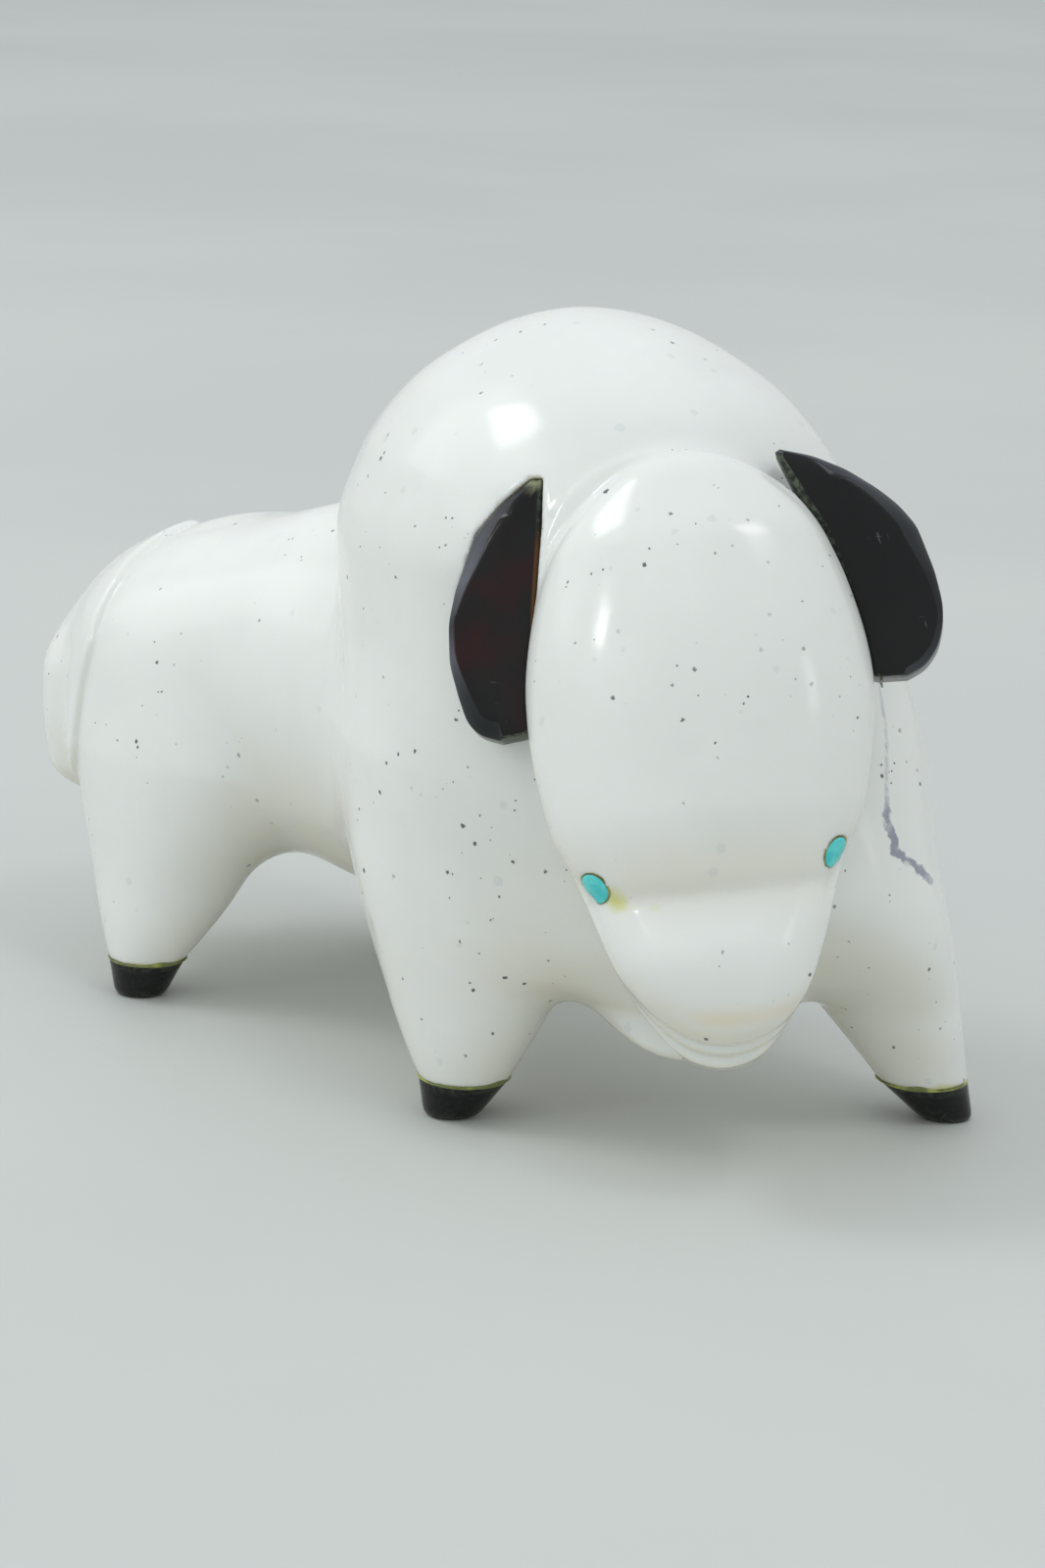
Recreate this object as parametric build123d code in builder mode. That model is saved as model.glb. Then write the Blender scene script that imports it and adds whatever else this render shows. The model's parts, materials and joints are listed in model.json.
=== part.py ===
"""Standing bison carved from one block of pale stone, with inlaid eyes and set-on horns and hooves.

Frame: +Z up, the animal faces -Y and its left side is +X. The hooves stand on Z = 0, and X = Y = 0 is
the middle of the whole outline. All lengths are millimetres.
"""
import os
from math import cos, radians, sin, sqrt

from build123d import *

os.makedirs("parts", exist_ok=True)

# ---------------------------------------------------------------- trunk
spine_x, spine_y = 1.1, -1.5   # the trunk's own middle, from the middle of the outline

hump_height = 69.8
hump_y = -10.0                # plan position of the crest
hump_half_width = 21.5
hump_half_length = 25.5
hump_spring = 49.0            # level where the hump's dome ends and the shoulders begin
shoulder_level = 33.0
shoulder_y = -13.0
shoulder_half_width = 21.5
shoulder_half_length = 24.0
chest_level = 19.0
chest_y = -19.5
chest_half_width = 17.5
chest_half_length = 18.5
brisket_level = 12.0
brisket_y = -26.0
brisket_half_width = 11.5
brisket_half_length = 11.5
keel_x, keel_y, keel_level = -6.0, -34.0, 7.0    # lowest point of the brisket, behind the beard

back_height = 47.5            # top of the back, just behind the hump
haunch_height = 44.0
belly_height = 13.5           # underside of the belly before the rear legs
belly_sag = 2.0               # the belly falls this much towards the brisket
flank_level = 30.0            # widest level of the back and haunches
waist_y = 20.0
waist_half_width = 16.5
haunch_y = 37.0
haunch_half_width = 18.5
rump_y = 47.0
rump_half_width = 14.5
rump_half_height = 10.5
rump_end_y = 54.5

# ---------------------------------------------------------------- legs and hooves
ankle_radius = {"front": 4.0, "rear": 3.6}
thigh_half_width = {"front": 9.8, "rear": 9.2}
thigh_half_length = 12.8
thigh_level = 23.0
hoof_height = 3.5
hoof_sole_radius = 2.5
hoof_edge = 0.5               # worn edge round the sole
hoof_glue = 0.12              # thickness of the adhesive film at each hoof joint
# Plan places of each leg: where it is cut off for the hoof, its thigh, and its root inside the trunk.
# The toe is how far the sole stands out past the joint.
legs = {
    "front_left": {
        "ankle": (16.6, -38.7), "thigh": (8.2, -31.2), "root": (9.5, -20.0, 52.0), "toe": (1.4, -1.3)},
    "front_right": {
        "ankle": (-16.3, -14.3), "thigh": (-12.0, -10.5), "root": (-10.5, -9.0, 42.0), "toe": (-0.5, 0.3)},
    "rear_left": {
        "ankle": (16.5, 27.5), "thigh": (10.2, 31.0), "root": (8.6, 34.0, 33.0), "toe": (0.5, 0.3)},
    "rear_right": {
        "ankle": (-16.8, 31.4), "thigh": (-10.4, 33.0), "root": (-8.6, 34.0, 34.0), "toe": (-0.5, 0.3)},
}

# ---------------------------------------------------------------- tail
tail_x = -8.0                 # the tail hangs towards the right haunch
tail_y = 48.0
tail_root_level = 40.5
tail_tip_level = 15.5
tail_half_width = 7.5
tail_half_thickness = 6.0

# ---------------------------------------------------------------- head
head_x = -12.3                # middle of the mask, on its rim
head_ahead = 3.1              # its place ahead of the hump
head_drop = 31.9              # and its level below the crest of the hump
head_turn = 48.0              # towards the animal's right
head_lean = 21.0              # the face looks up by this much
head_roll = 9.0               # the animal's left side is raised
mask_half_width = 14.5
mask_widest = 4.0             # the mask is widest above its middle
mask_crown = 24.8             # from the middle of the mask up to the crown
mask_chin = 24.8              # and down to the chin
muzzle_half_width = 8.8       # where the mask narrows to the muzzle
muzzle_level = -18.2
chin_half_width = 4.6
chin_level = -23.6
forehead_fullness = 7.0       # how far the forehead stands out of the rim
brow_level = -11.0            # the forehead turns in here, between the eyes
brow_half_width = 10.8
brow_fullness = 4.2
forehead_foot = -15.8         # lowest point of the forehead, in the valley above the muzzle
muzzle_fullness = 3.6
neck_depth = 24.0
rim_share = 0.96              # the neck is narrower than the mask, so that the rim stands out
rim_depth = 0.6               # the neck ends this far behind the rim

# ---------------------------------------------------------------- horns
horn_length = 21.2
horn_width = 7.2
horn_thickness = 4.0
horn_foot = {"left": (15.2, 4.0), "right": (14.3, 2.6)}    # lower inner corner, from the middle of the mask
horn_splay = {"left": 18.0, "right": 8.0}    # the inner edge leans in towards the crown by this angle
horn_setback = 0.4            # the horn's front face lies this far behind the rim
horn_bevel = 1.1
horn_glue = 0.12
horn_glue_length = 15.0

# ---------------------------------------------------------------- eyes
eye_x, eye_y = 10.1, brow_level    # from the middle of the mask
eye_look = (0.73, -0.42, 0.54)    # the eyes look outwards, down and ahead
eye_radius = 1.5
eye_length = 4.0
eye_stand = 0.3               # how far the polished end stands out of the stone
eye_clearance = 0.04
eye_glue = 0.12


# ---------------------------------------------------------------- placing and outlines
def level(x, y, z):
    """A horizontal plane through a point given from the trunk's middle."""
    return Plane(origin=(spine_x + x, spine_y + y, z))


def across(y, z):
    """An upright plane square to the spine, its own Y pointing up."""
    return Plane(origin=(spine_x, spine_y + y, z), x_dir=(1, 0, 0), z_dir=(0, -1, 0))


def oval(plane, half_x, half_y):
    """An elliptic outline."""
    with BuildSketch(plane) as outline:
        Ellipse(half_x, half_y)
    return outline.sketch


def egg(plane, half_width, top, bottom):
    """A rounded outline that reaches further one way than the other along the plane's Y."""
    with BuildSketch(plane) as outline:
        with BuildLine():
            Spline((half_width, 0), (0, top), (-half_width, 0), (0, -bottom), periodic=True)
        make_face()
    return outline.sketch


turn, lean, roll = radians(head_turn), radians(head_lean), radians(head_roll)
face_out = Vector(-sin(turn) * cos(lean), -cos(turn) * cos(lean), sin(lean))
level_left = Vector(cos(turn), -sin(turn), 0)
head = Plane(
    origin=(spine_x + head_x, spine_y + hump_y - hump_half_length - head_ahead, hump_height - head_drop),
    x_dir=level_left * cos(roll) + face_out.cross(level_left) * sin(roll),
    z_dir=face_out,
)


def on_head(x, y, z=0.0):
    """A point of the head: x to the animal's left, y up the mask, z out of the face."""
    return head.origin + head.x_dir * x + head.y_dir * y + head.z_dir * z


def mask_outline(depth, share):
    """The mask's outline at a depth behind its rim, drawn in by a share of its size."""
    with BuildSketch(head.offset(-depth)) as outline:
        with BuildLine():
            Spline(
                (0, mask_crown * share),
                (-mask_half_width * share, mask_widest * share),
                (-muzzle_half_width * share, muzzle_level * share),
                (-chin_half_width * share, chin_level * share),
                (0, -mask_chin * share),
                (chin_half_width * share, chin_level * share),
                (muzzle_half_width * share, muzzle_level * share),
                (mask_half_width * share, mask_widest * share),
                periodic=True,
            )
        make_face()
    return outline.sketch


def face_section(height, half_width, fullness):
    """An oval slice square to the mask's length, standing out of the rim by its fullness."""
    return oval(Plane(origin=on_head(0, height), x_dir=head.x_dir, z_dir=head.y_dir), half_width, fullness)


# ---------------------------------------------------------------- hooves and their glue
for name, leg in legs.items():
    radius = ankle_radius[name.split("_")[0]]
    ankle_x, ankle_y = leg["ankle"]
    toe_x, toe_y = leg["toe"]
    with BuildPart() as hoof:
        with BuildSketch(level(ankle_x + toe_x, ankle_y + toe_y, 0)):
            Circle(hoof_sole_radius)
        with BuildSketch(level(ankle_x, ankle_y, hoof_height)):
            Circle(radius)
        loft(ruled=True)
        chamfer(hoof.edges().sort_by(Axis.Z)[0], hoof_edge)
    hoof.part.label = f"hoof_{name}"
    export_step(hoof.part, f"parts/hoof_{name}.step")

    with BuildPart() as hoof_film:
        with BuildSketch(level(ankle_x, ankle_y, hoof_height)):
            Circle(radius)
        extrude(amount=hoof_glue)
    hoof_film.part.label = f"hoof_glue_{name}"
    export_step(hoof_film.part, f"parts/hoof_glue_{name}.step")


# ---------------------------------------------------------------- horns and their glue
def beside_mask(name, along, out):
    """A point of the horn's outline, measured along its inner edge and outwards from it."""
    foot_x, foot_y = horn_foot[name]
    splay = radians(horn_splay[name])
    x = foot_x - along * sin(splay) + out * cos(splay)
    y = foot_y + along * cos(splay) + out * sin(splay)
    return (x if name == "left" else -x, y)


horn_back = head.offset(-horn_setback - horn_thickness)
horns = {}
horn_films = {}
for name in ("left", "right"):
    foot = beside_mask(name, 0, 0)
    tip = beside_mask(name, horn_length, 0)
    with BuildPart() as horn:
        with BuildSketch(horn_back):
            with BuildLine():
                Line(foot, tip)
                Spline(
                    tip,
                    beside_mask(name, horn_length * 0.84, horn_width * 0.58),
                    beside_mask(name, horn_length * 0.50, horn_width * 0.98),
                    beside_mask(name, horn_length * 0.18, horn_width * 0.94),
                    beside_mask(name, 0, horn_width * 0.66),
                )
                Line(beside_mask(name, 0, horn_width * 0.66), foot)
            make_face()
        extrude(amount=horn_thickness)
        outer_edges = horn.edges().filter_by(GeomType.BSPLINE)
        chamfer(outer_edges, horn_bevel)
    horn.part.label = f"horn_{name}"
    export_step(horn.part, f"parts/horn_{name}.step")
    horns[name] = horn.part

    with BuildPart() as horn_film:
        with BuildSketch(horn_back):
            with BuildLine():
                Polyline(
                    foot,
                    beside_mask(name, horn_glue_length, 0),
                    beside_mask(name, horn_glue_length, -horn_glue),
                    beside_mask(name, 0, -horn_glue),
                    close=True,
                )
            make_face()
        extrude(amount=horn_thickness)
    horn_film.part.label = f"horn_glue_{name}"
    export_step(horn_film.part, f"parts/horn_glue_{name}.step")
    horn_films[name] = horn_film.part

# ---------------------------------------------------------------- eyes and their glue
eye_height = brow_fullness * sqrt(1 - (eye_x / brow_half_width) ** 2)
eye_planes = {}
for name, side in (("left", 1), ("right", -1)):
    axis = head.x_dir * (side * eye_look[0]) + head.y_dir * eye_look[1] + head.z_dir * eye_look[2]
    surface = Plane(origin=on_head(side * eye_x, eye_y, eye_height), z_dir=axis)
    eye_planes[name] = surface
    with BuildPart() as eye:
        with BuildSketch(surface.offset(eye_stand - eye_length)):
            Circle(eye_radius)
        extrude(amount=eye_length)
        polished_end = eye.faces().sort_by_distance(surface.offset(eye_stand).origin)[0]
        chamfer(polished_end.edges(), eye_stand)
    eye.part.label = f"eye_{name}"
    export_step(eye.part, f"parts/eye_{name}.step")

    with BuildPart() as eye_film:
        with BuildSketch(surface.offset(eye_stand - eye_length - eye_glue)):
            Circle(eye_radius)
        extrude(amount=eye_glue)
    eye_film.part.label = f"eye_glue_{name}"
    export_step(eye_film.part, f"parts/eye_glue_{name}.step")

# ---------------------------------------------------------------- the carving
with BuildPart() as stone_body:
    # Hump and shoulders: plan ovals stacked from the keel of the brisket up to the crest.
    dome = [
        oval(level(0, hump_y - 1.5 * share, hump_spring + (hump_height - hump_spring) * rise),
             hump_half_width * share, hump_half_length * share)
        for rise, share in ((0.96, 0.25), (0.83, 0.5), (0.64, 0.73), (0.35, 0.91), (0.0, 1.0))
    ]
    hump = loft(mode=Mode.PRIVATE, sections=[
        Vertex(*level(0, hump_y, hump_height).origin),
        *dome,
        oval(level(0, shoulder_y, shoulder_level), shoulder_half_width, shoulder_half_length),
        oval(level(0, chest_y, chest_level), chest_half_width, chest_half_length),
        oval(level(0, brisket_y, brisket_level), brisket_half_width, brisket_half_length),
        Vertex(*level(keel_x, keel_y, keel_level).origin),
    ])

    # Back, belly and rump.
    back_rise = back_height - flank_level
    haunch_rise = haunch_height - flank_level
    belly_drop = flank_level - belly_height
    back = loft(mode=Mode.PRIVATE, sections=[
        Vertex(*level(0, rump_end_y, flank_level).origin),
        egg(across(rump_end_y - 2, flank_level),
            rump_half_width / 2, rump_half_height / 2, rump_half_height / 2),
        egg(across(rump_y, flank_level), rump_half_width, rump_half_height, rump_half_height),
        egg(across(haunch_y, flank_level), haunch_half_width, haunch_rise, belly_drop),
        egg(across(waist_y, flank_level), waist_half_width, back_rise, belly_drop),
        egg(across(0, flank_level), waist_half_width, back_rise, belly_drop + belly_sag),
    ])

    # Legs: each spreads from its hoof joint into the trunk.
    limbs = []
    for name, leg in legs.items():
        end = name.split("_")[0]
        radius, half_width = ankle_radius[end], thigh_half_width[end]
        ankle, thigh, root = Vector(*leg["ankle"]), Vector(*leg["thigh"]), Vector(*leg["root"])
        joint = hoof_height + hoof_glue
        knee = ankle + (thigh - ankle) * 0.42
        knee_level = joint + (thigh_level - joint) * 0.33
        limb = loft(mode=Mode.PRIVATE, sections=[
            oval(level(ankle.X, ankle.Y, joint), radius, radius),
            oval(level(knee.X, knee.Y, knee_level),
                 radius + (half_width - radius) * 0.45, radius + (thigh_half_length - radius) * 0.45),
            oval(level(thigh.X, thigh.Y, thigh_level), half_width, thigh_half_length),
            oval(level(root.X, root.Y, root.Z), half_width * 0.85, thigh_half_length * 0.8),
        ])
        limbs.append(limb)

    # Tail: a broad drop lying against the rump.
    tail = loft(mode=Mode.PRIVATE, sections=[
        Vertex(*level(0, tail_y - 2.5, tail_root_level).origin),
        oval(level(tail_x * 0.45, tail_y - 0.8, tail_root_level - 3.5),
             tail_half_width * 0.6, tail_half_thickness * 0.65),
        oval(level(tail_x, tail_y, tail_root_level - 12.5), tail_half_width, tail_half_thickness),
        oval(level(tail_x, tail_y, tail_tip_level + 4.5), tail_half_width * 0.88, tail_half_thickness * 0.87),
        Vertex(*level(tail_x, tail_y, tail_tip_level).origin),
    ])

    # Neck, narrower than the mask so that the rim stands out.
    neck = loft(mode=Mode.PRIVATE, sections=[
        mask_outline(neck_depth, 0.8),
        mask_outline(neck_depth / 3, 0.93),
        mask_outline(rim_depth, rim_share),
    ])

    # Forehead: bulges from the crown, then turns in above the muzzle.
    forehead = loft(mode=Mode.PRIVATE, sections=[
        Vertex(*on_head(0, mask_crown)),
        face_section(mask_crown * 0.9, mask_half_width * 0.47, forehead_fullness * 0.42),
        face_section(mask_crown * 0.66, mask_half_width * 0.8, forehead_fullness * 0.78),
        face_section(mask_widest, mask_half_width, forehead_fullness),
        face_section(brow_level / 2, mask_half_width * 0.93, forehead_fullness * 0.88),
        face_section(brow_level, brow_half_width, brow_fullness),
        face_section((brow_level + forehead_foot) / 2, brow_half_width * 0.76, brow_fullness * 0.62),
        Vertex(*on_head(0, forehead_foot)),
    ])

    # Muzzle: a shallower form that comes out from under the forehead and rounds over at the chin.
    muzzle = loft(mode=Mode.PRIVATE, sections=[
        face_section(brow_level / 2, muzzle_half_width, muzzle_fullness * 0.8),
        face_section(brow_level, (brow_half_width + muzzle_half_width) / 2, muzzle_fullness * 0.9),
        face_section(muzzle_level, muzzle_half_width, muzzle_fullness),
        face_section(chin_level, chin_half_width, muzzle_fullness * 0.55),
        Vertex(*on_head(0, -mask_chin)),
    ])

    add([hump, back, *limbs, tail, neck, forehead, muzzle])

    # Seats for the horns, and blind holes for the eyes.
    for name in ("left", "right"):
        add(horns[name], mode=Mode.SUBTRACT)
        add(horn_films[name], mode=Mode.SUBTRACT)
        hole_depth = eye_length - eye_stand + eye_glue
        with BuildSketch(eye_planes[name].offset(-hole_depth)):
            Circle(eye_radius + eye_clearance)
        extrude(amount=hole_depth + 3, mode=Mode.SUBTRACT)

stone_body.part.label = "stone_body"
export_step(stone_body.part, "parts/stone_body.step")
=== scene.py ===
"""Looks of the carved stone bison: one smooth polished skin, jet horns and hooves, turquoise eyes."""
import json

import bmesh
import bpy
import numpy as np
import openvdb
from mathutils import Matrix, Vector


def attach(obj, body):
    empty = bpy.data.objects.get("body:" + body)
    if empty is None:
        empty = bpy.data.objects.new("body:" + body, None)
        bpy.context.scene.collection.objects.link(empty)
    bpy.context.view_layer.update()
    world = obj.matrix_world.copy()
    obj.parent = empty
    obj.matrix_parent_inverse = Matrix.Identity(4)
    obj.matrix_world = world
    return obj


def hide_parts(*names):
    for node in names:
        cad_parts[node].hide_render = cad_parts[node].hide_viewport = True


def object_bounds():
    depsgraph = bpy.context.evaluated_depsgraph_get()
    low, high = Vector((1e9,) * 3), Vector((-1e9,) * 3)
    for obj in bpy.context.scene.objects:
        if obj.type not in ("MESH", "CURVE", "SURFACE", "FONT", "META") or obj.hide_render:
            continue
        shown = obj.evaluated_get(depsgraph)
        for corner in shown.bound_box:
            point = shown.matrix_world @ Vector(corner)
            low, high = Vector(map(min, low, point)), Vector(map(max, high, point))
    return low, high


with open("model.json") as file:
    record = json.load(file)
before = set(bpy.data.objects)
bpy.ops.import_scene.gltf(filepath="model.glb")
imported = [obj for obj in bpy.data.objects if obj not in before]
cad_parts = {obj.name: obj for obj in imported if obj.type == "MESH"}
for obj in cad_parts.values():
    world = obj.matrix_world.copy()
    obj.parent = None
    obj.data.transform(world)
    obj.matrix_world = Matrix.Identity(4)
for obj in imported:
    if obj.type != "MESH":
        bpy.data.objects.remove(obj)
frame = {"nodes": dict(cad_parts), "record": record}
cad_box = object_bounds()

MM = 0.001
cell = 0.3      # spacing of the carving's grid, mm
grid_margin = 2.0                      # room left round the CAD's box, mm
sides = {"left": 1, "right": -1}       # which way each side lies along the head's own left

# ---------------------------------------------------------------- sizes, mm
# Most are the CAD's own. The brisket, the back's rise, the front left leg, the tail, the horns' outlines and
# the eyes were fitted closer to the photo here, so they differ from it. Flap and shells are only here.
spine = np.array([1.1, -1.5, 0.0])     # the trunk's middle, from the middle of the outline
head_middle = np.array([-12.3, -38.6, 37.9])
head_turn, head_lean, head_roll = np.radians([48.0, 21.0, 9.0])
hoof_joint = 3.62
flank = 30.0                           # the level where the back is widest

# Slices of an upright form: level, centre across, centre along, half width, half length.
hump_slices = [
    (8.3, -7.2, -32.6, 0.0, 0.0), (12.4, -0.9, -25.4, 10.8, 10.9), (19.0, 0.0, -19.5, 17.5, 18.5),
    (33.0, 0.0, -13.0, 21.5, 24.0), (49.0, 0.0, -11.5, 21.5, 25.5), (56.3, 0.0, -11.4, 19.6, 23.2),
    (62.3, 0.0, -11.1, 15.7, 18.6), (66.3, 0.0, -10.8, 10.8, 12.8), (69.0, 0.0, -10.4, 5.2, 6.2),
    (69.8, 0.0, -10.0, 0.0, 0.0),
]
# Slices of the back from the shoulders to the rump: place along the spine, half width, rise, drop.
back_slices = [
    (-16.0, 0.0, 0.0, 0.0), (-8.0, 14.0, 16.5, 16.0), (0.0, 16.5, 19.0, 18.5), (20.0, 16.5, 18.0, 16.5),
    (37.0, 18.5, 14.0, 16.5), (47.0, 14.5, 10.5, 10.5), (52.5, 7.25, 5.25, 5.25), (54.5, 0.0, 0.0, 0.0),
]
legs = {
    "front_left": [(3.6, 16.6, -38.7, 4.0, 4.0), (10.0, 14.2, -36.3, 5.6, 7.0), (23.0, 8.6, -31.2, 9.8, 12.8),
                   (36.0, 9.9, -27.0, 9.7, 12.0), (52.0, 9.5, -20.0, 6.5, 7.5), (60.0, 9.0, -18.0, 0.0, 0.0)],
    "front_right": [(3.6, -16.3, -14.3, 4.0, 4.0), (10.0, -14.5, -12.7, 6.6, 8.0),
                    (23.0, -12.0, -10.5, 9.8, 12.8), (42.0, -10.5, -9.0, 8.3, 10.2),
                    (52.0, -9.0, -9.0, 0.0, 0.0)],
    "rear_left": [(3.6, 16.5, 27.5, 3.6, 3.6), (10.0, 13.8, 29.0, 6.2, 7.7), (23.0, 10.2, 31.0, 9.2, 12.8),
                  (33.0, 8.6, 34.0, 7.8, 10.2), (42.0, 7.0, 34.0, 0.0, 0.0)],
    "rear_right": [(3.6, -16.8, 31.4, 3.6, 3.6), (10.0, -14.1, 32.1, 6.2, 7.7),
                   (23.0, -10.4, 33.0, 9.2, 12.8), (34.0, -8.6, 34.0, 7.8, 10.2),
                   (43.0, -7.0, 34.0, 0.0, 0.0)],
}
tail_slices = [
    (15.3, -8.6, 47.6, 0.0, 0.0), (19.0, -8.6, 47.7, 7.0, 5.3), (28.0, -8.3, 47.9, 7.9, 6.1),
    (37.0, -3.6, 47.2, 4.5, 3.9), (41.0, 0.0, 45.5, 0.0, 0.0),
]
# The raised flap that the tail lies on: its front and left edges by level, its bottom and its rise.
flap_front = [(16, 41.4), (22, 40.2), (33, 38.6), (38.5, 39.6), (42, 41.8), (47, 47.5)]
flap_left = [(16, -1.5), (28, -0.5), (42, -2.0), (47, -4.5)]
flap_bottom, flap_rise = 18.5, 0.65
tail_box = (-24, 34, 12), (8, 60, 52)
# Slices of the head along the mask, from chin to crown: height, half width, fullness.
forehead_slices = [
    (-15.8, 0.0, 0.0), (-13.4, 7.9, 2.6), (-11.0, 10.4, 4.2), (-5.5, 13.2, 6.2), (4.0, 14.5, 7.0),
    (16.4, 11.7, 5.5), (22.3, 6.9, 2.9), (24.8, 0.0, 0.0),
]
muzzle_slices = [
    (-24.8, 0.0, 0.0), (-23.6, 4.1, 2.2), (-18.2, 8.3, 4.0), (-14.0, 9.4, 3.3), (-11.0, 9.6, 2.7),
    (-5.5, 8.8, 2.2), (0.0, 0.0, 0.0),
]
neck_slices = [
    (-24.8, 0.0), (-23.6, 4.1), (-18.2, 8.3), (-11.0, 10.8), (-5.5, 12.9), (4.0, 14.2), (12.0, 13.1),
    (16.4, 11.6), (20.2, 9.5), (23.0, 6.0), (24.8, 0.0),
]
neck_depth, neck_setback = 24.0, 0.4
mask_half_width = 14.5
# Shells under the chin: how far each is let down, its front, its back, and how much it is drawn in.
chin_shells = [(1.9, -2.0, -6.0, 0.15), (0.9, -0.8, -2.6, 0.06)]
head_reach = 38.0
eye_places = {"left": (10.7, -10.6), "right": (-10.3, -11.5)}
eye_radius = 1.4
eye_width = {"left": 0.84, "right": 0.96}      # across, as a share of the height
eye_depth = 3.8
pin_gap = 0.03                                 # between an eye and the wall of its bore
hoof_height, sole_radius = 3.5, 2.35
# Each hoof: place across and along, radius at the joint, and how far its toe leans across and along.
hoof_places = {
    "front_left": (16.6, -38.7, 4.0, 1.7, -1.5), "front_right": (-16.3, -14.3, 4.0, -0.9, 0.6),
    "rear_left": (16.5, 27.5, 3.6, 0.5, 0.3), "rear_right": (-16.8, 31.4, 3.6, -0.5, 0.3),
}
# Outline of each horn on the head: the inner edge from the tip down to the foot, then the outer edge back up.
horn_outlines = {
    "right": [(11.6, 23.9), (12.0, 20.0), (13.2, 12.6), (13.8, 8.0), (14.3, 2.5), (17.0, 2.2), (18.7, 2.8),
              (19.7, 4.0), (20.2, 6.1), (20.7, 9.0), (20.5, 12.4), (19.7, 15.3), (17.7, 20.0), (15.4, 22.1),
              (12.5, 24.0)],
    "left": [(8.1, 24.2), (9.4, 20.8), (11.6, 16.7), (13.2, 12.3), (13.9, 9.1), (14.1, 7.0), (14.2, 4.4),
             (17.3, 4.3), (18.9, 5.0), (20.1, 6.5), (20.7, 8.5), (20.8, 10.1), (20.4, 12.9), (19.3, 16.9),
             (17.9, 18.9), (16.3, 20.4), (13.9, 22.2), (11.2, 23.6), (8.5, 24.4)],
}
horn_front, horn_thickness = -0.4, 4.0
horn_middle, horn_reach = (14.5, 13.3, 0.5), 17.0
horn_gap = 0.06
pocket_gap, pocket_floor = 0.12, 1.0
horn_step = 0.3
# Along each horn, by height on the head: the width ground off its edges, and how strong each look is.
# edge_rings is how many rings of the mesh, from the back, the looks of the inner edge take in.
horn_looks = {
    "right": {
        "outer_width": [(2, 1.3), (4, 1.4), (6.5, 1.0), (10, 0.5), (13, 0.45), (17, 1.2), (20, 1.6),
                        (23, 0.7)],
        "inner_width": [(4, 0.3), (20, 0.5)],
        "frosted": [(3, 0.9), (7, 0.5), (10, 0.1), (19, 0.1), (22, 0.8)],
        "amber": [(7, 0), (11, 0.9), (18, 0.9), (20, 0)],
        # Painted highlight: how strong the grey sheen on the ground outer edge is, in place of a window's
        # reflection.
        "painted_bevel_sheen": [(3, 0.1), (6, 0.25), (9.5, 0.9), (12, 0.4), (16, 0.9), (19, 0.5), (23, 0.1)],
        "red": 1.0, "pale_tip": 1.0, "edge_rings": 7,
    },
    "left": {
        "outer_width": [(4, 0.5), (6, 0.6), (9, 0.35), (12, 0.7), (16, 1.4), (19, 1.4), (22, 0.9), (24, 0.4)],
        "inner_width": [(8, 0.15), (14, 0.35), (18, 0.7), (23, 0.75)],
        "frosted": [(12, 0.15), (17, 0.6), (21, 1.0)],
        "amber": [(0, 0)],
        # Painted highlight: how strong the grey sheen on the ground outer edge is, in place of a window's
        # reflection.
        "painted_bevel_sheen": [(3, 0.5), (6, 0.25), (9.5, 0.1), (12, 0.1), (16, 0.2), (19, 0.35), (23, 0.5)],
        "red": 0.0, "pale_tip": 0.0, "edge_rings": 8,
    },
}
# The vein down the front left leg: its path, and its half width by level.
vein_path = [(11.0, -35.0, 45.0), (10.0, -38.2, 40.9), (9.0, -40.6, 36.3), (6.9, -43.0, 30.2),
             (7.3, -43.5, 26.9), (11.2, -43.2, 23.5)]
vein_widths = [(22.5, 0.16), (25, 0.34), (29.5, 0.30), (31.5, 0.10), (46, 0.06)]


# ---------------------------------------------------------------- implicit forms
def by_table(value, table):
    """The value's entry in a table of pairs, with straight lines between the pairs."""
    return np.interp(value, *zip(*table))


def smooth_curve(knots, values):
    """A monotone cubic through the knots, as a dense table of values and slopes."""
    knots, values = np.array(knots, float), np.array(values, float)
    width = np.diff(knots)
    rise = np.diff(values) / width
    slope = np.zeros(len(knots))
    both = rise[:-1] * rise[1:] > 0
    weight_a, weight_b = 2 * width[1:] + width[:-1], width[1:] + 2 * width[:-1]
    with np.errstate(divide="ignore", invalid="ignore"):
        mean = (weight_a + weight_b) / (weight_a / rise[:-1] + weight_b / rise[1:])
    slope[1:-1] = np.where(both, mean, 0)
    slope[0], slope[-1] = rise[0] * 1.5 - slope[1] / 2, rise[-1] * 1.5 - slope[-2] / 2
    reach = 60.0
    t = np.concatenate([[knots[0] - reach], np.linspace(knots[0], knots[-1], 1200), [knots[-1] + reach]])
    i = np.clip(np.searchsorted(knots, t) - 1, 0, len(width) - 1)
    s = np.clip((t - knots[i]) / width[i], 0, 1)
    h = width[i]
    y = ((2 * s**3 - 3 * s**2 + 1) * values[i] + (s**3 - 2 * s**2 + s) * h * slope[i]
         + (3 * s**2 - 2 * s**3) * values[i + 1] + (s**3 - s**2) * h * slope[i + 1])
    y[0] = values[0] - reach * slope[0]
    y[-1] = values[-1] + reach * slope[-1]
    return t, y, np.gradient(y, t)


def read(curve, t):
    """A smooth curve's value and slope at t."""
    return np.interp(t, curve[0], curve[1]), np.interp(t, curve[0], curve[2])


def centre_line(t, stations, centre):
    """The middle of a form's slices, which stays where it is past the first and the last slice."""
    middle, _ = read(smooth_curve(stations, centre), t)
    return np.where(t <= stations[0], centre[0], np.where(t >= stations[-1], centre[-1], middle))


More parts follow.
